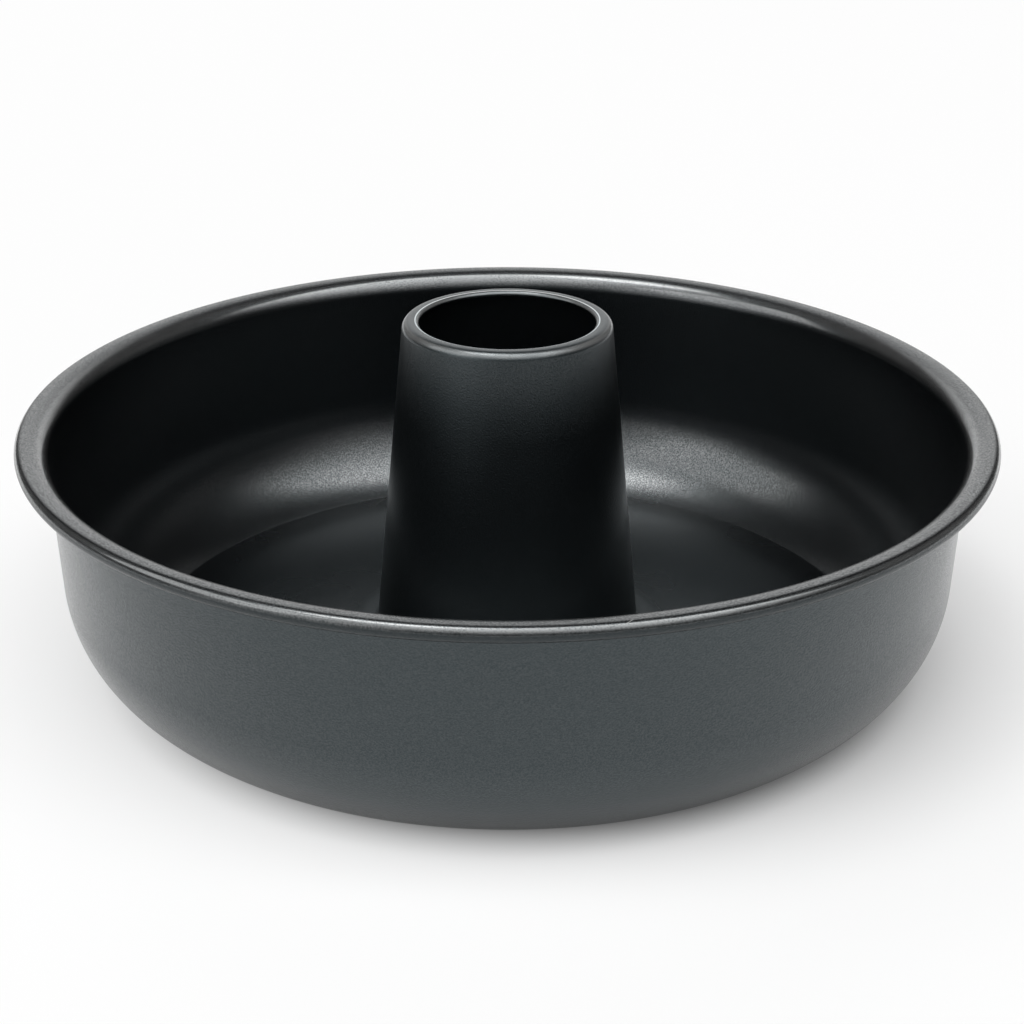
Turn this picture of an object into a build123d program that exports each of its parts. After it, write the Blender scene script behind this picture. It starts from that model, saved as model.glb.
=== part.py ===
from build123d import *

import os
from math import cos, radians, sin

# Two-piece angel food cake pan in coated sheet steel.
# A drawn shell has a flared lip rolled round a wire at its mouth, a wall that leans in slightly, a large
# rounded corner and an inward ledge that the pan stands on. A loose insert drops into it: a flat base plate
# that rests on the ledge, and a hollow tapering tube fixed at its middle, which stands above the rim.
# Every piece is a ring turned about Z. The origin is at the middle of the face that the pan stands on.
# All lengths are in millimetres, and all angles in degrees.

# Shell and its rim
overall_radius = 135.5
rim_height = 70.6
shell_sheet = 0.8
bead_radius = 2.2
wire_gap = 0.3
curl_turn = 265
lip_slope = 2
roll_radius = 6.1
wall_top_radius = 127.2
wall_lean = 2.6

# Rounded corner, and the ledge that carries the insert
corner_radius = 34.4
corner_end = 64
ledge_bend_radius = 2.0
ledge_inner_radius = 96.0

# Base plate
plate_sheet = 0.8
plate_clearance = 0.4
collar_height = 5.0
collar_bend_radius = 1.6
collar_gap = 0.1

# Tube
tube_sheet = 0.8
tube_height = 97.0
tube_top_radius = 29.2
tube_lean = 5.6
tube_shoulder_radius = 2.6
tube_lip_radius = 24.4
lip_bend_radius = 1.5
lip_bend_turn = 65
foot_bend_radius = 2.4
foot_radius = 46.7


def along(angle, distance):
    """The step of a given length in the direction of an angle."""
    return Vector(distance * cos(radians(angle)), distance * sin(radians(angle)))


def arc(centre, radius, start_angle, end_angle):
    """A round stretch of a section, from one direction to another as seen from its centre."""
    return CenterArc(centre, radius, start_angle, end_angle - start_angle)


def sheet_ring(stretches, thickness):
    """A ring of sheet metal: the middle line of its section, thickened on both sides and turned about Z."""
    middle_line = Wire([edge for stretch in stretches for edge in stretch.edges()])
    section = make_face(middle_line.offset_2d(thickness / 2, kind=Kind.ARC, side=Side.BOTH))
    return revolve(Plane.XZ * section, Axis.Z)


# The section of the shell, with radius along X and height along Y.
# The roll between the lip and the wall turns about roll_centre, and the lip runs on the top of both circles.
shell_half = shell_sheet / 2
bead_centre = Vector(overall_radius - bead_radius, rim_height - bead_radius)
lip_top = 90 + lip_slope
roll_centre_radius = wall_top_radius + (roll_radius - shell_sheet) * cos(radians(wall_lean))
lip_rise = roll_radius - bead_radius + (bead_centre.X - roll_centre_radius) * sin(radians(lip_slope))
roll_centre = Vector(roll_centre_radius, bead_centre.Y - lip_rise / cos(radians(lip_slope)))

# The corner turns about corner_centre, and the tighter bend inside it lays the ledge flat.
ledge_bend_middle = ledge_bend_radius + shell_half
corner_middle = corner_radius - shell_half
corner_height = shell_half + ledge_bend_middle + (corner_middle - ledge_bend_middle) * sin(radians(corner_end))
wall_top = roll_centre + along(180 - wall_lean, roll_radius - shell_half)
wall_drop = (wall_top.Y - corner_height) * sin(radians(wall_lean))
corner_centre = Vector(wall_top.X - (corner_middle + wall_drop) / cos(radians(wall_lean)), corner_height)
ledge_bend_centre = corner_centre + along(-corner_end, corner_middle - ledge_bend_middle)

# The insert seats on the ledge, inside the bend.
plate_radius = ledge_bend_centre.X - plate_clearance
plate_bottom = shell_sheet
plate_top = plate_bottom + plate_sheet

# The section of the tube. Its shoulder turns about shoulder_centre, the bend that dips its lip towards the
# hole about lip_bend_centre, and its foot bend about foot_centre.
tube_half = tube_sheet / 2
foot_middle = foot_bend_radius + tube_half
shoulder_middle = tube_shoulder_radius - tube_half
shoulder_centre = Vector(tube_top_radius - tube_shoulder_radius, tube_height - tube_shoulder_radius)
lip_bend_middle = lip_bend_radius - tube_half
lip_bend_centre = Vector(
    tube_lip_radius + tube_half + lip_bend_middle * sin(radians(lip_bend_turn)), tube_height - lip_bend_radius
)
cone_top = shoulder_centre + along(tube_lean, shoulder_middle)
foot_centre_height = plate_top + tube_half + foot_middle
cone_drop = (cone_top.Y - foot_centre_height) * sin(radians(tube_lean))
foot_centre = Vector(cone_top.X + (foot_middle + cone_drop) / cos(radians(tube_lean)), foot_centre_height)


def pan_shell():
    """The drawn shell, from the end of its curl, over the lip and down the wall, to the edge of its ledge."""
    curl_middle = bead_radius - shell_half
    roll_middle = roll_radius - shell_half
    curl = arc(bead_centre, curl_middle, lip_top - curl_turn, lip_top)
    lip = Line(bead_centre + along(lip_top, curl_middle), roll_centre + along(lip_top, roll_middle))
    roll = arc(roll_centre, roll_middle, lip_top, 180 - wall_lean)
    wall = Line(wall_top, corner_centre + along(-wall_lean, corner_middle))
    corner = arc(corner_centre, corner_middle, -wall_lean, -corner_end)
    ledge_bend = arc(ledge_bend_centre, ledge_bend_middle, -corner_end, -90)
    ledge = Line(
        ledge_bend_centre + along(-90, ledge_bend_middle),
        Vector(ledge_inner_radius + shell_half, shell_half),
    )
    return sheet_ring([curl, lip, roll, wall, corner, ledge_bend, ledge], shell_sheet)


def rim_wire():
    """The steel ring inside the curl, which keeps the rim round and stiff."""
    wire_radius = bead_radius - shell_sheet - wire_gap
    section = Pos(bead_centre.X, bead_centre.Y) * Circle(wire_radius)
    return revolve(Plane.XZ * section, Axis.Z)


def base_plate():
    """The loose floor: a flat disc, with a collar drawn up round its hole that the tube sits over."""
    plate_half = plate_sheet / 2
    bend_middle = collar_bend_radius + plate_half
    # The collar leans as the tube does, with its outer face just inside the tube's inner face.
    collar_inset = tube_half + collar_gap + plate_half
    bend_centre_height = plate_bottom + plate_half + bend_middle
    cone_line = cone_top + along(tube_lean, -collar_inset)
    lean_drop = (cone_line.Y - bend_centre_height) * sin(radians(tube_lean))
    bend_centre = Vector(
        cone_line.X + (bend_middle + lean_drop) / cos(radians(tube_lean)), bend_centre_height
    )
    collar_foot = bend_centre + along(180 + tube_lean, bend_middle)
    collar_length = collar_height / cos(radians(tube_lean))
    collar = Line(collar_foot + along(90 + tube_lean, collar_length), collar_foot)
    collar_bend = arc(bend_centre, bend_middle, 180 + tube_lean, 270)
    floor = Line(
        bend_centre + along(270, bend_middle),
        Vector(plate_radius - plate_half, plate_bottom + plate_half),
    )
    return sheet_ring([collar, collar_bend, floor], plate_sheet)


def center_tube():
    """The hollow cone: its lip turned inward and down at the top, and its foot spread on the plate."""
    lip_bend = arc(lip_bend_centre, lip_bend_middle, 90 + lip_bend_turn, 90)
    lip = Line(lip_bend_centre + along(90, lip_bend_middle), shoulder_centre + along(90, shoulder_middle))
    shoulder = arc(shoulder_centre, shoulder_middle, 90, tube_lean)
    cone = Line(cone_top, foot_centre + along(180 + tube_lean, foot_middle))
    foot_bend = arc(foot_centre, foot_middle, 180 + tube_lean, 270)
    foot = Line(
        foot_centre + along(270, foot_middle),
        Vector(foot_radius - tube_half, plate_top + tube_half),
    )
    return sheet_ring([lip_bend, lip, shoulder, cone, foot_bend, foot], tube_sheet)


nodes = {
    "pan_shell": pan_shell(),
    "rim_wire": rim_wire(),
    "base_plate": base_plate(),
    "center_tube": center_tube(),
}

os.makedirs("parts", exist_ok=True)
for name, solid in nodes.items():
    export_step(solid, f"parts/{name}.step")
    print(name, solid.bounding_box().size)
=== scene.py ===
# %% [markdown]
# # A two-piece angel food cake pan
#
# The real pan is pressed and rolled from thin steel sheet, and every piece of it is round. Its shell has
# a rim rolled over a wire, and a loose insert, a flat plate with a hollow tube, drops into it. A dark
# non-stick coating covers everything but the wire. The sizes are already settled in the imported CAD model,
# so this lesson loads that model as a fixed frame, and then makes a smooth finished mesh for each piece
# of sheet.

from math import atan2, cos, degrees, pi, radians, sin, sqrt

import bpy
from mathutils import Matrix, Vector


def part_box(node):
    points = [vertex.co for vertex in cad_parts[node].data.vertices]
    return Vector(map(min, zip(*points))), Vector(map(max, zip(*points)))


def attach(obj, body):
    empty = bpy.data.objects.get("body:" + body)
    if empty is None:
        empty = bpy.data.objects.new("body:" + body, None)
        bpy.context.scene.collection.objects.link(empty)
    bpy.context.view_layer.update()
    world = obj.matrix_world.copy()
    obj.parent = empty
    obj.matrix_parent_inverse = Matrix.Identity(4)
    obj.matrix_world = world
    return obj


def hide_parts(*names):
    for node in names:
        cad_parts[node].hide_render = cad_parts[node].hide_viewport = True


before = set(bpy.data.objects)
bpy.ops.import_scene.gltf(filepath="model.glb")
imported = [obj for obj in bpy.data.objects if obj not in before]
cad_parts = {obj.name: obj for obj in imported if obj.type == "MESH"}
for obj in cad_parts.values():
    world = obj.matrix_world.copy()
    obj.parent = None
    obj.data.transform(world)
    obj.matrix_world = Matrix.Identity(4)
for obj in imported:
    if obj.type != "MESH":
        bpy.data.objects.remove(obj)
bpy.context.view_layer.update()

# %% [markdown]
# The driving dimensions come from the frame where it holds them: the outer radius, the height of the rim,
# the sheet's thickness, and the sizes of the plate and the tube. A box around a node can't tell a bend's
# radius or a wall's lean, so those few are named here, with the same values as in the CAD model. A ruler
# for the pressed sheet is the millimetre, so they are written in millimetres and turned into metres once.

# %% Driving dimensions
mm = 0.001

shell_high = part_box("pan_shell")[1]
plate_low, plate_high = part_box("base_plate")
tube_low, tube_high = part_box("center_tube")
wire_low, wire_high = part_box("rim_wire")

rim_radius = shell_high.x
rim_height = shell_high.z
shell_sheet = plate_low.z
plate_sheet = tube_low.z - plate_low.z
tube_sheet = plate_sheet
plate_radius = plate_high.x
tube_height = tube_high.z
foot_radius = tube_high.x

bead_radius = rim_height - (wire_low.z + wire_high.z) / 2
curl_turn = 265
lip_slope = 2
roll_radius = 6.1 * mm
wall_top_radius = 127.2 * mm
wall_lean = 2.6
corner_radius = 34.4 * mm
corner_end = 64
ledge_bend_radius = 2.0 * mm
ledge_inner_radius = 96.0 * mm
collar_height = 5.0 * mm
collar_bend_radius = 1.6 * mm
collar_gap = 0.1 * mm
tube_top_radius = 29.2 * mm
tube_lean = 5.6
tube_shoulder_radius = 2.6 * mm
tube_lip_radius = 24.4 * mm
lip_bend_radius = 1.5 * mm
lip_bend_turn = 65
foot_bend_radius = 2.4 * mm
print("rim radius", round(rim_radius, 4), "rim height", round(rim_height, 4), "sheet", round(shell_sheet, 5))
print("bead radius", round(bead_radius, 5), "plate radius", round(plate_radius, 4))
print("tube height", round(tube_height, 4), "foot radius", round(foot_radius, 4))

# %% [markdown]
# The camera comes first, because every look is judged through it. The photograph was taken from in front
# of the pan and about 21 degrees above its rim, from about four and a quarter rim radii away. So near a
# lens makes the front of the rim look much wider than the back, and only the right distance shows that.
# The pan sits a few pixels left of the middle of the picture, which a very small shift of the lens gives.

# %% Camera
picture_size = 1024
sight_elevation = 21.23
sight_distance = 4.25 * rim_radius
sight_pitch = 23.93
focal_pixels = 2047
pan_column = 507.4

camera_data = bpy.data.cameras.new("camera")
camera = bpy.data.objects.new("camera", camera_data)
bpy.context.scene.collection.objects.link(camera)
camera_data.sensor_width = 36.0
camera_data.lens = focal_pixels / picture_size * camera_data.sensor_width
camera_data.shift_x = (picture_size / 2 - pan_column) / picture_size
camera_data.clip_start = 0.01
camera_data.clip_end = 50
rim_middle = Vector((0, 0, rim_height - bead_radius))
sight = Vector((0, -cos(radians(sight_elevation)), sin(radians(sight_elevation))))
camera.location = rim_middle + sight * sight_distance
camera.rotation_euler = (radians(90 - sight_pitch), 0, 0)
bpy.context.scene.camera = camera
bpy.context.scene.view_settings.view_transform = "Standard"
print("camera at", [round(v, 4) for v in camera.location], "lens", round(camera_data.lens, 2))

# %% [markdown]
# Every piece of sheet is the same idea: one smooth line, the middle of the sheet, drawn in a plane
# through the pan's axis, then thickened and turned round the axis. The line is a chain of straight runs
# and arcs that meet without a kink, as a press leaves them. A first helper steps along such a chain and
# gives points with the direction square to the sheet at each. A point is (distance from the axis,
# height).

# %% Stepping along the middle line of a sheet
arc_step = 5.0


def polar(angle, distance):
    """The step of a given length in the direction of an angle, in degrees."""
    return Vector((distance * cos(radians(angle)), distance * sin(radians(angle))))


def run(start, end, pieces=1):
    """A straight stretch: its points, and the direction to its left."""
    ahead = (end - start).normalized()
    left = Vector((-ahead.y, ahead.x))
    return [(start.lerp(end, i / pieces), left) for i in range(pieces + 1)]


def bend(centre, radius, start_angle, end_angle, step=arc_step):
    """A round stretch from one direction to another, as seen from its centre."""
    count = max(2, round(abs(end_angle - start_angle) / step))
    turn = 1 if end_angle > start_angle else -1
    stretch = []
    for i in range(count + 1):
        angle = start_angle + (end_angle - start_angle) * i / count
        stretch.append((centre + polar(angle, radius), polar(angle, -turn)))
    return stretch


def chain(*stretches):
    """Joins stretches end to end, keeping one point where two meet."""
    points = list(stretches[0])
    for stretch in stretches[1:]:
        points += stretch[1:]
    return points


# %% [markdown]
# The second helper thickens the line. It walks up the left face of the sheet, round the cut edge, back
# down the right face, and round the other edge. The edges are rounded, as the coating leaves them, and
# that little curve is what catches a thin bright line of light in the photograph.

# %% Thickening the line into a closed section
edge_steps = 6


def thicken(line, thickness):
    """The closed outline of a sheet, from the points and directions of its middle line."""
    half = thickness / 2
    left_face = [point + left * half for point, left in line]
    right_face = [point - left * half for point, left in line]

    def rounded(point, from_angle):
        """The half circle round an end, without its first and last points."""
        turned = [from_angle - 180 * i / edge_steps for i in range(1, edge_steps)]
        return [point + polar(angle, half) for angle in turned]

    first, first_left = line[0]
    last, last_left = line[-1]
    last_angle = degrees(atan2(last_left.y, last_left.x))
    first_angle = degrees(atan2(-first_left.y, -first_left.x))
    return left_face + rounded(last, last_angle) + right_face[::-1] + rounded(first, first_angle)


# %% [markdown]
# The third helper turns the outline round the axis. A Screw modifier would do it too, but plain lists of
# corners and faces keep the ring closed, with no seam to weld, and let each piece have as many steps
# round as it needs. Smooth shading then hides the flats, so a highlight runs round the rim without a
# break.

# %% Turning a section into a ring
steps_round = 288


def turned_ring(name, outline, steps=steps_round):
    """A closed outline of (radius, height) points, turned about Z into a smooth ring."""
    corners = []
    for k in range(steps):
        angle = 2 * pi * k / steps
        corners += [(p.x * cos(angle), p.x * sin(angle), p.y) for p in outline]
    size = len(outline)
    faces = []
    for k in range(steps):
        here, there = k * size, (k + 1) % steps * size
        for i in range(size):
            j = (i + 1) % size
            faces.append((here + i, here + j, there + j, there + i))
    mesh = bpy.data.meshes.new(name)
    mesh.from_pydata(corners, [], faces)
    mesh.validate()
    mesh.polygons.foreach_set("use_smooth", [True] * len(mesh.polygons))
    area = sum(a.x * b.y - b.x * a.y for a, b in zip(outline, outline[1:] + outline[:1]))
    if area > 0:
        mesh.flip_normals()
    mesh.update()
    ring = bpy.data.objects.new(name, mesh)
    bpy.context.scene.collection.objects.link(ring)
    print(name, "has", len(mesh.vertices), "corners and", len(mesh.polygons), "faces")
    return ring


# %% [markdown]
# ## The shell
#
# The real shell is drawn from one disc of steel. At the mouth the sheet sweeps outward over a wide round
# roll, and its edge curls down and round a wire. The wall leans in a little towards the bottom, then a
# large rounded corner sweeps under to a narrow flat ledge. The pan stands on that ledge, and the loose
# plate rests on it. Most of the curves are worked out from their neighbours, so that each meets the next
# without a kink.

# %% Where the shell's bends turn
shell_half = shell_sheet / 2
bead_centre = Vector((rim_radius - bead_radius, rim_height - bead_radius))
lip_top = 90 + lip_slope
roll_centre_x = wall_top_radius + (roll_radius - shell_sheet) * cos(radians(wall_lean))
lip_rise = roll_radius - bead_radius + (bead_centre.x - roll_centre_x) * sin(radians(lip_slope))
roll_centre = Vector((roll_centre_x, bead_centre.y - lip_rise / cos(radians(lip_slope))))

ledge_bend_middle = ledge_bend_radius + shell_half
corner_middle = corner_radius - shell_half
corner_y = shell_half + ledge_bend_middle + (corner_middle - ledge_bend_middle) * sin(radians(corner_end))
wall_top = roll_centre + polar(180 - wall_lean, roll_radius - shell_half)
wall_drop = (wall_top.y - corner_y) * sin(radians(wall_lean))
corner_centre = Vector((wall_top.x - (corner_middle + wall_drop) / cos(radians(wall_lean)), corner_y))
ledge_bend_centre = corner_centre + polar(-corner_end, corner_middle - ledge_bend_middle)
print("corner turns about", [round(v, 5) for v in corner_centre], "and the ledge bend about",
      [round(v, 5) for v in ledge_bend_centre])

# %% The shell's mesh
shell_line = chain(
    bend(bead_centre, bead_radius - shell_half, lip_top - curl_turn, lip_top, step=8),
    run(bead_centre + polar(lip_top, bead_radius - shell_half),
        roll_centre + polar(lip_top, roll_radius - shell_half)),
    bend(roll_centre, roll_radius - shell_half, lip_top, 180 - wall_lean),
    run(wall_top, corner_centre + polar(-wall_lean, corner_middle), pieces=6),
    bend(corner_centre, corner_middle, -wall_lean, -corner_end, step=2),
    bend(ledge_bend_centre, ledge_bend_middle, -corner_end, -90, step=4),
    run(ledge_bend_centre + polar(-90, ledge_bend_middle),
        Vector((ledge_inner_radius + shell_half, shell_half))),
)
shell = turned_ring("coated_shell", thicken(shell_line, shell_sheet))
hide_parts("pan_shell")
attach(shell, "pan")

# %% [markdown]
# ## The insert
#
# The floor of the pan is a loose flat plate. Its middle is drawn up into a short collar, and the tube is
# pushed down over that collar until its foot lies on the plate. The two never part, so they are one body,
# but they are two pieces of sheet, and each has its own mesh. The collar leans exactly as the tube does.

# %% Where the insert's bends turn
tube_half = tube_sheet / 2
plate_half = plate_sheet / 2
plate_top = shell_sheet + plate_sheet
foot_middle = foot_bend_radius + tube_half
shoulder_middle = tube_shoulder_radius - tube_half
shoulder_centre = Vector((tube_top_radius - tube_shoulder_radius, tube_height - tube_shoulder_radius))
lip_bend_middle = lip_bend_radius - tube_half
lip_bend_x = tube_lip_radius + tube_half + lip_bend_middle * sin(radians(lip_bend_turn))
lip_bend_centre = Vector((lip_bend_x, tube_height - lip_bend_radius))
cone_top = shoulder_centre + polar(tube_lean, shoulder_middle)
foot_centre_y = plate_top + tube_half + foot_middle
cone_drop = (cone_top.y - foot_centre_y) * sin(radians(tube_lean))
foot_centre = Vector((cone_top.x + (foot_middle + cone_drop) / cos(radians(tube_lean)), foot_centre_y))

collar_middle = collar_bend_radius + plate_half
collar_inset = tube_half + collar_gap + plate_half
collar_centre_y = shell_sheet + plate_half + collar_middle
collar_line = cone_top + polar(tube_lean, -collar_inset)
collar_drop = (collar_line.y - collar_centre_y) * sin(radians(tube_lean))
collar_centre = Vector(
    (collar_line.x + (collar_middle + collar_drop) / cos(radians(tube_lean)), collar_centre_y)
)
collar_foot = collar_centre + polar(180 + tube_lean, collar_middle)
collar_length = collar_height / cos(radians(tube_lean))
print("tube foot turns about", [round(v, 5) for v in foot_centre], "collar about",
      [round(v, 5) for v in collar_centre])

# %% The base plate's mesh
plate_line = chain(
    run(collar_foot + polar(90 + tube_lean, collar_length), collar_foot),
    bend(collar_centre, collar_middle, 180 + tube_lean, 270, step=8),
    run(collar_centre + polar(270, collar_middle),
        Vector((plate_radius - plate_half, shell_sheet + plate_half)), pieces=5),
)
plate = turned_ring("coated_base_plate", thicken(plate_line, plate_sheet))
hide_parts("base_plate")
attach(plate, "insert")

# %% [markdown]
# The tube is a tall cone. Its top turns inward over a small round shoulder to a narrow lip, which dips
# towards the hole at its cut edge. Its foot turns outward the other way, onto the plate. The shoulder is
# small beside the tube, and in the photograph it still carries the brightest line of all, so it gets
# close steps.

# %% The tube's mesh
tube_line = chain(
    bend(lip_bend_centre, lip_bend_middle, 90 + lip_bend_turn, 90, step=8),
    run(lip_bend_centre + polar(90, lip_bend_middle), shoulder_centre + polar(90, shoulder_middle)),
    bend(shoulder_centre, shoulder_middle, 90, tube_lean),
    run(cone_top, foot_centre + polar(180 + tube_lean, foot_middle), pieces=6),
    bend(foot_centre, foot_middle, 180 + tube_lean, 270, step=8),
    run(foot_centre + polar(270, foot_middle),
        Vector((foot_radius - tube_half, plate_top + tube_half)), pieces=2),
)
tube = turned_ring("coated_tube", thicken(tube_line, tube_sheet))
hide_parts("center_tube")
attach(tube, "insert")

# %% [markdown]
# ## Finishes
#
# A non-stick coating is sprayed on and baked. Close to, it isn't smooth: it has a fine grain, with some
# specks glossier than others, and slow cloudy changes in its sheen. Both the shell and the insert have
# it, so it is built once, as a node group with named inputs and outputs, and placed in each material. The
# group only puts out values that change over the surface. The shader and its constant settings stay in
# the material.

# %% A helper that starts a node group
def start_group(name, inputs, outputs):
    """An empty shader node group with float inputs, given as (name, value), and float outputs."""
    group = bpy.data.node_groups.new(name, "ShaderNodeTree")
    for label, value in inputs:
        socket = group.interface.new_socket(label, in_out="INPUT", socket_type="NodeSocketFloat")
        socket.default_value = value
    for label in outputs:
        group.interface.new_socket(label, in_out="OUTPUT", socket_type="NodeSocketFloat")
    entry = group.nodes.new("NodeGroupInput")
    leave = group.nodes.new("NodeGroupOutput")
    return group, entry, leave


# %% [markdown]
# Most of the nodes calculate with numbers, so a few short helpers make them. They take the node tree
# first, then numbers or the outputs of other nodes. All but the first give back the output that holds the
# result.

# %% Helpers for numbers in a node tree
def feed(tree, socket, value):
    """Gives an input a number, or links it to the output of another node."""
    if isinstance(value, (int, float)):
        socket.default_value = value
    else:
        tree.links.new(value, socket)


def calculated(tree, operation, first, second=0.0):
    """The result of a Math node."""
    node = tree.nodes.new("ShaderNodeMath")
    node.operation = operation
    feed(tree, node.inputs[0], first)
    feed(tree, node.inputs[1], second)
    return node.outputs["Value"]


def remapped(tree, value, low, high, to_low=0.0, to_high=1.0, easing="SMOOTHSTEP"):
    """A value moved from one range to another, and kept inside it."""
    node = tree.nodes.new("ShaderNodeMapRange")
    node.interpolation_type = easing
    for label, number in (("From Min", low), ("From Max", high), ("To Min", to_low), ("To Max", to_high)):
        node.inputs[label].default_value = number
    tree.links.new(value, node.inputs["Value"])
    return node.outputs["Result"]


def between(tree, share, low, high):
    """The value that lies a share of the way from a low one to a high one."""
    span = calculated(tree, "SUBTRACT", high, low)
    return calculated(tree, "ADD", calculated(tree, "MULTIPLY", share, span), low)


# %% Helpers for places, noise and colours
def apart(tree, vector):
    """The X, Y and Z of a vector."""
    node = tree.nodes.new("ShaderNodeSeparateXYZ")
    tree.links.new(vector, node.inputs["Vector"])
    return node.outputs


def from_axis(tree, place):
    """The distance from the pan's axis, from the X and Y of a place."""
    squares = [calculated(tree, "MULTIPLY", place[name], place[name]) for name in "XY"]
    return calculated(tree, "SQRT", calculated(tree, "ADD", *squares))


def noise(tree, place, scale, detail):
    """Smooth noise over a place."""
    node = tree.nodes.new("ShaderNodeTexNoise")
    node.inputs["Detail"].default_value = detail
    tree.links.new(place, node.inputs["Vector"])
    feed(tree, node.inputs["Scale"], scale)
    return node.outputs["Fac"]


def mixed_colour(tree, share, first, second):
    """A colour that goes from the first to the second as the share goes from 0 to 1."""
    node = tree.nodes.new("ShaderNodeMix")
    node.data_type = "RGBA"
    node.inputs["A"].default_value = (*first, 1.0)
    node.inputs["B"].default_value = (*second, 1.0)
    tree.links.new(share, node.inputs["Factor"])
    return node.outputs["Result"]


# %% The sprayed coating's grain, as a group
grain_scale = 2300.0
cloud_scale = 24.0
coating, entry, leave = start_group(
    "sprayed_coating",
    (
        ("Grain Scale", grain_scale),
        ("Gloss Low", 0.2),
        ("Gloss High", 0.7),
        ("Sheen Low", 0.17),
        ("Sheen High", 0.21),
    ),
    ("Height", "Gloss", "Roughness"),
)
place = coating.nodes.new("ShaderNodeTexCoord").outputs["Object"]
grains = noise(coating, place, entry.outputs["Grain Scale"], 1.0)
specks = remapped(coating, grains, 0.32, 0.68, easing="LINEAR")
gloss = between(coating, specks, entry.outputs["Gloss Low"], entry.outputs["Gloss High"])
clouds = remapped(coating, noise(coating, place, cloud_scale, 3.0), 0.35, 0.65)
roughness = between(coating, clouds, entry.outputs["Sheen Low"], entry.outputs["Sheen High"])
coating.links.new(grains, leave.inputs["Height"])
coating.links.new(gloss, leave.inputs["Gloss"])
coating.links.new(roughness, leave.inputs["Roughness"])
print("group", coating.name, "puts out", [s.name for s in leave.inputs if s.name])

# %% [markdown]
# Hands, cloths and oven racks rub the rounded edges of the rim and of the tube's lip, and there the
# coating is polished smooth. A second group finds them: they lie above a given height, and their surface
# leans without being level. Noise makes the rubbing uneven. The group's second output is the share of the
# gloss that is kept: it takes the gloss off a surface that faces down, a painted shade for the shadowed
# floor that the pan's underside mirrors. The third tells which surfaces face up, and the fourth marks a
# thin ring of a given radius that is worn through to the steel, as the edge of the tube's lip is.

# %% The rubbed edges, as a group
# Each pair is where a mask begins to change and where it is done. The first four go by how far a surface
# faces up.
leaning_up = (0.3, 0.62)
nearly_level = (0.78, 0.92)
# Surfaces that face down lose their gloss: a painted shade for the shadowed floor they mirror.
facing_down_shade = (-0.7, -0.08)
upright_to_rising = (0.05, 0.35)
rubbed_patches = (0.3, 0.6)
least_rubbed = 0.75
ring_half_width = (0.14 * mm, 0.22 * mm)

rubbing, entry, leave = start_group(
    "rubbed_edge",
    (("From Height", 60 * mm), ("Fade", 4 * mm), ("Patch Scale", 160.0), ("Bare Radius", 0.0)),
    ("Polished", "Kept", "Facing Up", "Bare"),
)
surface = rubbing.nodes.new("ShaderNodeTexCoord").outputs
place = apart(rubbing, surface["Object"])
facing_up = apart(rubbing, surface["Normal"])["Z"]
above = calculated(rubbing, "SUBTRACT", place["Z"], entry.outputs["From Height"])
high_up = remapped(rubbing, calculated(rubbing, "DIVIDE", above, entry.outputs["Fade"]), 0.0, 1.0)
leaning = remapped(rubbing, facing_up, *leaning_up)
not_level = remapped(rubbing, facing_up, *nearly_level, 1.0, 0.0)
patches = noise(rubbing, surface["Object"], entry.outputs["Patch Scale"], 2.0)
uneven = remapped(rubbing, patches, *rubbed_patches, least_rubbed, 1.0)
polished = calculated(rubbing, "MULTIPLY", high_up, calculated(rubbing, "MULTIPLY", leaning, not_level))
polished = calculated(rubbing, "MULTIPLY", polished, uneven)
off_ring = calculated(rubbing, "SUBTRACT", entry.outputs["Bare Radius"], from_axis(rubbing, place))
on_ring = remapped(rubbing, calculated(rubbing, "ABSOLUTE", off_ring), *ring_half_width, 1.0, 0.0)
bare = calculated(rubbing, "MULTIPLY", on_ring, high_up)
rubbing.links.new(polished, leave.inputs["Polished"])
rubbing.links.new(remapped(rubbing, facing_up, *facing_down_shade), leave.inputs["Kept"])
rubbing.links.new(remapped(rubbing, facing_up, *upright_to_rising), leave.inputs["Facing Up"])
rubbing.links.new(bare, leave.inputs["Bare"])
print("group", rubbing.name, "puts out", [s.name for s in leave.inputs if s.name])

# %% [markdown]
# The coating is nearly black in itself, with a cool cast. What gives it its grey is gloss: at a low angle
# it shows the white surface around it, spread out by its fine roughness. So each material is a dark base
# under a clear coat, and the strength of the clear coat follows the grain. On rubbed edges it is stronger
# and smoother, and where a coating is worn the steel shows. All four coats take the same two groups, each
# with its own values.

# %% Helpers for the coated materials
black = (0.0018, 0.0021, 0.0024)
bright_steel = (0.8, 0.8, 0.79)
cool_tint = (0.78, 0.94, 1.0)
polish_gain = 0.4
polished_roughness = 0.11
ripple_height = 0.1 * mm


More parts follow.
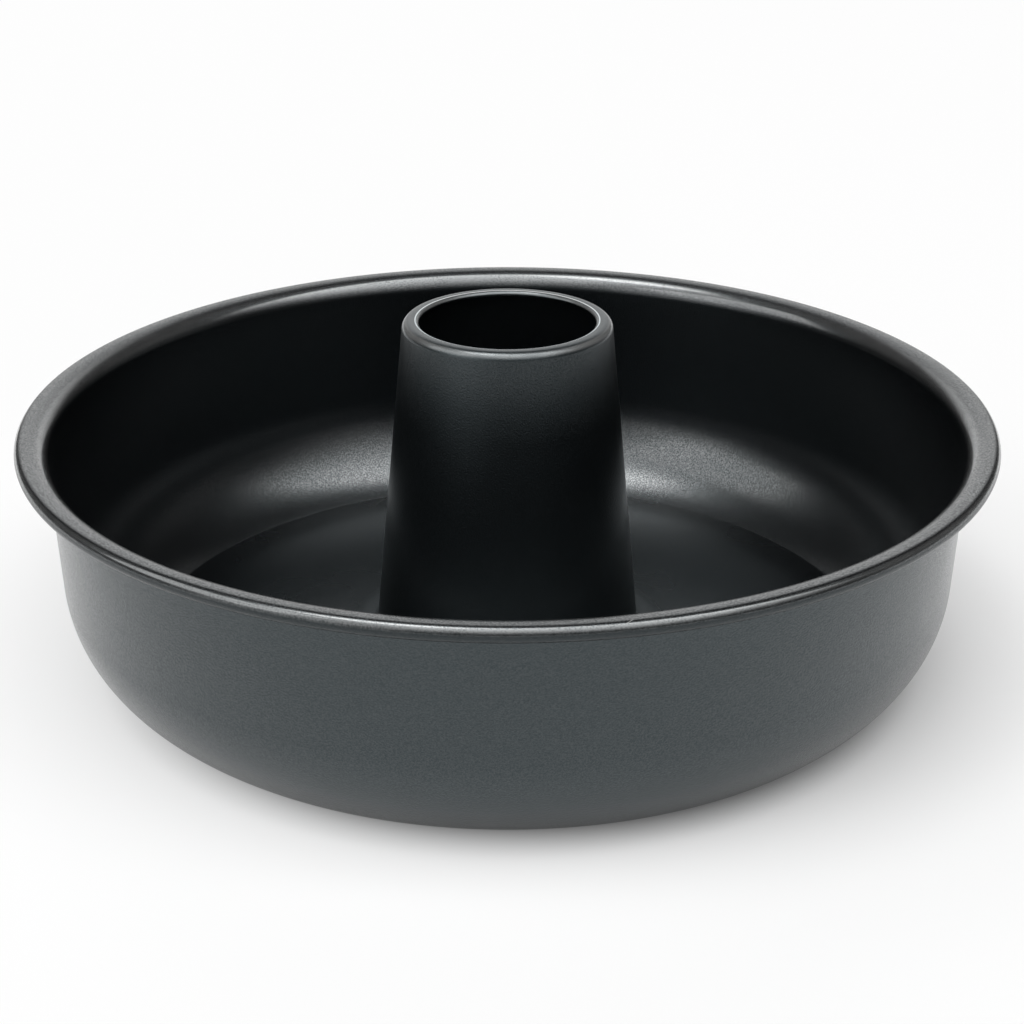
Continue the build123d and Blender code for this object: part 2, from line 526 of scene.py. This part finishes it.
def coated_steel(name, ior, coat_ior, gloss, sheen, coat_sheen, ripple, rubbed_from, upright_shade_share=1.0):
    """A dark base under a clear coat.

    gloss and sheen are pairs, the lowest and the highest value. sheen is the roughness of the base, and
    coat_sheen that of the clear coat. ripple is the bump, rubbed_from is the height where rubbed edges
    start, and the last argument is what an upright surface gets of the clear coat: less of it paints shade
    on upright walls.
    """
    material = bpy.data.materials.new(name)
    material.use_nodes = True
    tree = material.node_tree
    shader = tree.nodes["Principled BSDF"]
    shader.inputs["Base Color"].default_value = (*black, 1.0)
    shader.inputs["IOR"].default_value = ior
    shader.inputs["Specular Tint"].default_value = (*cool_tint, 1.0)
    shader.inputs["Coat IOR"].default_value = coat_ior
    grain = tree.nodes.new("ShaderNodeGroup")
    grain.node_tree = coating
    settings = (("Grain Scale", grain_scale), ("Gloss Low", gloss[0]), ("Gloss High", gloss[1]),
                ("Sheen Low", sheen[0]), ("Sheen High", sheen[1]))
    for label, value in settings:
        grain.inputs[label].default_value = value
    edge = tree.nodes.new("ShaderNodeGroup")
    edge.node_tree = rubbing
    edge.name = "rubbed edges"
    edge.inputs["From Height"].default_value = rubbed_from
    polish = calculated(tree, "MULTIPLY", edge.outputs["Polished"], polish_gain)
    glossy = calculated(tree, "MINIMUM", calculated(tree, "ADD", grain.outputs["Gloss"], polish), 1.0)
    # Surfaces that face down lose their gloss here, as painted shade.
    glossy = calculated(tree, "MULTIPLY", glossy, edge.outputs["Kept"])
    # Upright surfaces get less of the clear coat, a painted shade that darkens them.
    if upright_shade_share < 1.0:
        unshaded_coat = remapped(tree, edge.outputs["Facing Up"], 0.0, 1.0, upright_shade_share, 1.0, "LINEAR")
        glossy = calculated(tree, "MULTIPLY", glossy, unshaded_coat)
    tree.links.new(glossy, shader.inputs["Coat Weight"])
    tree.links.new(grain.outputs["Roughness"], shader.inputs["Roughness"])
    rubbed_smooth = remapped(tree, edge.outputs["Polished"], 0.0, 1.0, coat_sheen, polished_roughness)
    tree.links.new(rubbed_smooth, shader.inputs["Coat Roughness"])
    bump = tree.nodes.new("ShaderNodeBump")
    bump.inputs["Strength"].default_value = ripple
    bump.inputs["Distance"].default_value = ripple_height
    tree.links.new(grain.outputs["Height"], bump.inputs["Height"])
    tree.links.new(bump.outputs["Normal"], shader.inputs["Normal"])
    return material


def worn_to_steel(material, spot, rubbed_share):
    """Lets the steel show through a coat: where the spot is, and a share of it on the rubbed edges."""
    tree = material.node_tree
    shader = tree.nodes["Principled BSDF"]
    rubbed = calculated(tree, "MULTIPLY", tree.nodes["rubbed edges"].outputs["Polished"], rubbed_share)
    worn = calculated(tree, "MAXIMUM", spot, rubbed)
    tree.links.new(mixed_colour(tree, worn, black, bright_steel), shader.inputs["Base Color"])
    tree.links.new(worn, shader.inputs["Metallic"])


# %% [markdown]
# The shell is coated outside and inside, and the side that touches the cake gets the glossier coat. Its
# upright walls inside get little of the gloss and stay nearly black, a painted shade for the dark inside
# of the pan. In the shell's outline the outer face comes first and the inner face, with the top of the
# rim, after it, so a face's place in the outline tells which of the two coats it gets.

# %% The coatings on the shell
outer_coating = coated_steel(
    "outer_coating", ior=1.68, coat_ior=1.55, gloss=(0.0, 0.5), sheen=(0.2, 0.24), coat_sheen=0.2,
    ripple=0.8, rubbed_from=rim_height)
inner_coating = coated_steel(
    "inner_coating", ior=1.5, coat_ior=2.0, gloss=(0.25, 1.0), sheen=(0.24, 0.27), coat_sheen=0.24,
    ripple=0.9, rubbed_from=rim_height - 8 * mm, upright_shade_share=0.15)
for coat in (outer_coating, inner_coating):
    shell.data.materials.append(coat)
outline_size = len(shell.data.polygons) // steps_round
sides = [0 if i < len(shell_line) else 1 for i in range(outline_size)]
shell.data.polygons.foreach_set("material_index", sides * steps_round)
print("of each step round the shell,", sides.count(0), "faces are outside and", sides.count(1), "inside")

# %% The coatings on the insert
plate_coating = coated_steel(
    "plate_coating", ior=1.68, coat_ior=1.55, gloss=(0.05, 0.45), sheen=(0.24, 0.28), coat_sheen=0.2,
    ripple=0.6, rubbed_from=rim_height)
tube_coating = coated_steel(
    "tube_coating", ior=1.74, coat_ior=1.58, gloss=(0.05, 0.45), sheen=(0.32, 0.36), coat_sheen=0.2,
    ripple=0.6, rubbed_from=tube_height - 5 * mm)
lip_edge_radius = tube_lip_radius + 1.02 * mm
tube_edge = tube_coating.node_tree.nodes["rubbed edges"]
tube_edge.inputs["Bare Radius"].default_value = lip_edge_radius
worn_to_steel(tube_coating, tube_edge.outputs["Bare"], rubbed_share=0.15)
plate.data.materials.append(plate_coating)
tube.data.materials.append(tube_coating)
print("steel shows on the tube's lip at", round(lip_edge_radius, 5), "from the axis")

# %% [markdown]
# The photograph shows one small bright nick on the bead, to the right of the middle at the front. It is a
# thin ellipsoid in space: a mapping node moves and turns the place into the ellipsoid's own frame, where
# its surface is one unit away. Inside it some of the steel shows, most of it in the middle.

# %% The nick on the bead
nick_turn = 40
nick_size = (1.6 * mm, 0.25 * mm, 0.8 * mm)
nick_across = 27.5 * mm
nick_out = rim_radius - 1.6 * mm
nick_height = rim_height - 0.5 * mm
nick_steel = 0.35
tree = inner_coating.node_tree
nick_place = tree.nodes.new("ShaderNodeMapping")
nick_place.vector_type = "TEXTURE"
nick_place.inputs["Location"].default_value = (nick_across, -sqrt(nick_out**2 - nick_across**2), nick_height)
nick_place.inputs["Rotation"].default_value = (0, 0, radians(nick_turn))
nick_place.inputs["Scale"].default_value = nick_size
place = tree.nodes.new("ShaderNodeTexCoord").outputs["Object"]
tree.links.new(place, nick_place.inputs["Vector"])
nick_distance = tree.nodes.new("ShaderNodeVectorMath")
nick_distance.operation = "LENGTH"
tree.links.new(nick_place.outputs["Vector"], nick_distance.inputs[0])
nick = remapped(tree, nick_distance.outputs["Value"], 0.3, 1.0, nick_steel, 0.0)
worn_to_steel(inner_coating, nick, rubbed_share=0.05)
print("nick at", [round(v, 4) for v in nick_place.inputs["Location"].default_value])

# %% [markdown]
# The wire in the rim is plain drawn steel, and shows only through the gap under the curl. Drawing leaves
# fine marks along it. The CAD ring is already the right shape, so it stays, and only its material is new.
# The marks are noise stretched along the ring: the angle round the pan changes slowly, and the small
# circle of the wire's own section changes fast.

# %% Drawn steel for the wire
marks_along = 6.0
marks_across = 4000.0
dark_mark = (0.42, 0.42, 0.41)
light_mark = (0.62, 0.62, 0.61)
wire_roughness = (0.28, 0.45)
drawn_steel = bpy.data.materials.new("drawn_steel")
drawn_steel.use_nodes = True
tree = drawn_steel.node_tree
shader = tree.nodes["Principled BSDF"]
shader.inputs["Metallic"].default_value = 1.0
place = apart(tree, tree.nodes.new("ShaderNodeTexCoord").outputs["Object"])
around = calculated(tree, "ARCTAN2", place["Y"], place["X"])
along = tree.nodes.new("ShaderNodeCombineXYZ")
tree.links.new(calculated(tree, "MULTIPLY", around, marks_along), along.inputs["X"])
tree.links.new(calculated(tree, "MULTIPLY", from_axis(tree, place), marks_across), along.inputs["Y"])
tree.links.new(calculated(tree, "MULTIPLY", place["Z"], marks_across), along.inputs["Z"])
marks = noise(tree, along.outputs["Vector"], 1.0, 3.0)
tree.links.new(mixed_colour(tree, marks, dark_mark, light_mark), shader.inputs["Base Color"])
tree.links.new(remapped(tree, marks, 0.3, 0.7, *wire_roughness), shader.inputs["Roughness"])
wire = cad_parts["rim_wire"]
wire.data.materials.clear()
wire.data.materials.append(drawn_steel)
wire.data.polygons.foreach_set("material_index", [0] * len(wire.data.polygons))
print("drawn steel on", wire.name)

# %% [markdown]
# ## The studio
#
# The floor is a plain white sheet, wide enough to fill the picture behind the pan. Seen from below it
# lets the camera through. It is matt, and a share of its white is given straight to the camera and to
# reflections, so that it looks clean without more light on the pan. The share is small beside the pan and
# grows with the distance, so that the pan's soft shadow stays. The camera gets a little more of it than
# reflections do, but less on the right, where the shadow falls.

# %% The floor's mesh
floor_half = 6.0
floor_corners = [(x * floor_half, y * floor_half, 0) for x, y in ((-1, -1), (1, -1), (1, 1), (-1, 1))]
floor_mesh = bpy.data.meshes.new("floor")
floor_mesh.from_pydata(floor_corners, [], [(0, 1, 2, 3)])
floor = bpy.data.objects.new("floor", floor_mesh)
bpy.context.scene.collection.objects.link(floor)
print("floor", 2 * floor_half, "metres wide")

# %% The floor's white
studio_white = 0.985
matt_white = 0.85
shadow_middle = (12 * mm, 0.0, 0.0)
right_share = 0.5

floor_white = bpy.data.materials.new("floor_white")
floor_white.use_nodes = True
tree = floor_white.node_tree
tree.nodes.remove(tree.nodes["Principled BSDF"])
matt = tree.nodes.new("ShaderNodeBsdfDiffuse")
matt.inputs["Color"].default_value = (matt_white, matt_white, matt_white, 1.0)
glow = tree.nodes.new("ShaderNodeEmission")
glow.inputs["Color"].default_value = (studio_white, studio_white, studio_white, 1.0)
glow.inputs["Strength"].default_value = 1.0

place = tree.nodes.new("ShaderNodeTexCoord").outputs["Object"]
distance = tree.nodes.new("ShaderNodeVectorMath")
distance.operation = "DISTANCE"
distance.inputs[1].default_value = shadow_middle
tree.links.new(place, distance.inputs[0])
away = distance.outputs["Value"]
far_share = remapped(tree, away, 140 * mm, 290 * mm, 0.0, 0.58)
near_mirrored = remapped(tree, away, 100 * mm, 150 * mm, 0.02, 0.42)
near_seen = remapped(tree, away, 100 * mm, 130 * mm, 0.08, 0.52)
to_right = remapped(tree, apart(tree, place)["X"], 0.0, 120 * mm, 1.0, right_share)
near_seen = calculated(tree, "MULTIPLY", near_seen, to_right)

path = tree.nodes.new("ShaderNodeLightPath").outputs
mirrored = calculated(tree, "MAXIMUM", path["Is Glossy Ray"], path["Is Transmission Ray"])
seen_share = calculated(tree, "ADD", near_seen, far_share)
mirrored_share = calculated(tree, "ADD", near_mirrored, far_share)
shown_share = calculated(
    tree, "MAXIMUM",
    calculated(tree, "MULTIPLY", path["Is Camera Ray"], seen_share),
    calculated(tree, "MULTIPLY", mirrored, mirrored_share),
)
both = tree.nodes.new("ShaderNodeMixShader")
tree.links.new(shown_share, both.inputs["Fac"])
tree.links.new(matt.outputs["BSDF"], both.inputs[1])
tree.links.new(glow.outputs["Emission"], both.inputs[2])

clear = tree.nodes.new("ShaderNodeBsdfTransparent")
under = tree.nodes.new("ShaderNodeNewGeometry")
from_below = calculated(tree, "MULTIPLY", under.outputs["Backfacing"], path["Is Camera Ray"])
final = tree.nodes.new("ShaderNodeMixShader")
tree.links.new(from_below, final.inputs["Fac"])
tree.links.new(both.outputs["Shader"], final.inputs[1])
tree.links.new(clear.outputs["BSDF"], final.inputs[2])
tree.links.new(final.outputs["Shader"], tree.nodes["Material Output"].inputs["Surface"])
floor_mesh.materials.append(floor_white)
print("floor material", floor_white.name, "has", len(tree.nodes), "nodes")

# %% [markdown]
# The world stands in for the studio round the pan. A dark smooth surface shows its surroundings more than
# its own colour, so what stands where matters more here than how strong it is. The directions come as a
# vector, and each light in the world is a plain function of it. A round patch is bright within one angle
# of its middle and fades to nothing at a wider one, like a softbox with soft edges.

# %% A helper for a round patch of light in the world
def round_patch(tree, direction, azimuth, elevation, inner, outer, level):
    """Brightness over directions. Azimuth 0 is the camera's side, and positive is to its right."""
    across = cos(radians(elevation))
    middle = (across * sin(radians(azimuth)), -across * cos(radians(azimuth)), sin(radians(elevation)))
    facing = tree.nodes.new("ShaderNodeVectorMath")
    facing.operation = "DOT_PRODUCT"
    facing.inputs[1].default_value = middle
    tree.links.new(direction, facing.inputs[0])
    return remapped(tree, facing.outputs["Value"], cos(radians(outer)), cos(radians(inner)), 0.0, level)


# %% [markdown]
# The photograph's main light is one large panel that hangs over the pan from the camera's side. Its
# reflection in the far corner grows brighter step by step up to a sharp end, so the panel is brightest
# overhead and ends just there. A white backdrop stands behind the pan. There are three small lights
# besides: a weak one to the right, one at the front left, and a bright one high on the left. Between them
# the room is dark, which, with the painted shade on the upright inner walls, is why the walls inside look
# almost black. The camera sees none of this, only the studio's plain white.

# %% World
world = bpy.data.worlds.new("studio")
bpy.context.scene.world = world
world.use_nodes = True
tree = world.node_tree
background = tree.nodes["Background"]
background.inputs["Color"].default_value = (1.0, 1.0, 1.0, 1.0)
direction = tree.nodes.new("ShaderNodeTexCoord").outputs["Generated"]
toward = apart(tree, direction)

panel_low = 0.08
panel_overhead = 4.05
panel_rise = 1.4
panel_end = (radians(88), radians(94))
panel_left_end = (-0.8, -0.15)
panel_right_end = (0.42, 0.95)
tilt = calculated(tree, "ARCTAN2", toward["Z"], calculated(tree, "MULTIPLY", toward["Y"], -1.0))
upward = remapped(tree, tilt, 0.0, panel_end[0], easing="LINEAR")
panel = calculated(tree, "MULTIPLY", calculated(tree, "POWER", upward, panel_rise), panel_overhead)
panel = calculated(tree, "MAXIMUM", panel, panel_low)
panel = calculated(tree, "MULTIPLY", panel, remapped(tree, tilt, *panel_end, 1.0, 0.0))
panel = calculated(tree, "MULTIPLY", panel, remapped(tree, toward["X"], *panel_left_end))
panel = calculated(tree, "MULTIPLY", panel, remapped(tree, toward["X"], *panel_right_end, 1.0, 0.0))

backdrop = round_patch(tree, direction, azimuth=180, elevation=25, inner=16, outer=36, level=0.95)
right_light = round_patch(tree, direction, azimuth=105, elevation=8, inner=8, outer=30, level=0.1)
front_light = round_patch(tree, direction, azimuth=-48, elevation=14, inner=10, outer=30, level=0.9)
hot_spot = round_patch(tree, direction, azimuth=-80, elevation=74, inner=4, outer=16, level=3.6)
dark_room = 0.02
room = panel
for light in (backdrop, right_light, front_light, hot_spot, dark_room):
    room = calculated(tree, "ADD", room, light)

seen = tree.nodes.new("ShaderNodeLightPath").outputs["Is Camera Ray"]
lit = calculated(tree, "MULTIPLY", room, calculated(tree, "SUBTRACT", 1.0, seen))
plain = calculated(tree, "MULTIPLY", seen, studio_white)
tree.links.new(calculated(tree, "ADD", lit, plain), background.inputs["Strength"])
print("world", world.name, "has", len(tree.nodes), "nodes")

# %% [markdown]
# One softbox stands to the left, 38 degrees up. It gives the left side of the wall and of the tube their
# paler edge, and it throws the pan's soft shadow to the right. It is turned to face the pan.

# %% Softbox
def softbox(name, azimuth, elevation, distance, width, height, watts):
    """A rectangular lamp that faces the pan. Azimuth 0 is the camera's side, positive to its right."""
    lamp_data = bpy.data.lights.new(name, "AREA")
    lamp_data.shape = "RECTANGLE"
    lamp_data.size = width
    lamp_data.size_y = height
    lamp_data.energy = watts
    lamp = bpy.data.objects.new(name, lamp_data)
    bpy.context.scene.collection.objects.link(lamp)
    level = cos(radians(elevation))
    away = Vector((level * sin(radians(azimuth)), -level * cos(radians(azimuth)), sin(radians(elevation))))
    lamp.location = away * distance
    lamp.rotation_mode = "QUATERNION"
    lamp.rotation_quaternion = away.to_track_quat("Z", "Y")
    radiance = watts / (pi * width * height)
    print(name, "at", [round(v, 3) for v in lamp.location], "radiance", round(radiance, 2))


softbox("left_softbox", azimuth=-74, elevation=38, distance=1.5, width=1.2, height=0.8, watts=5.0)
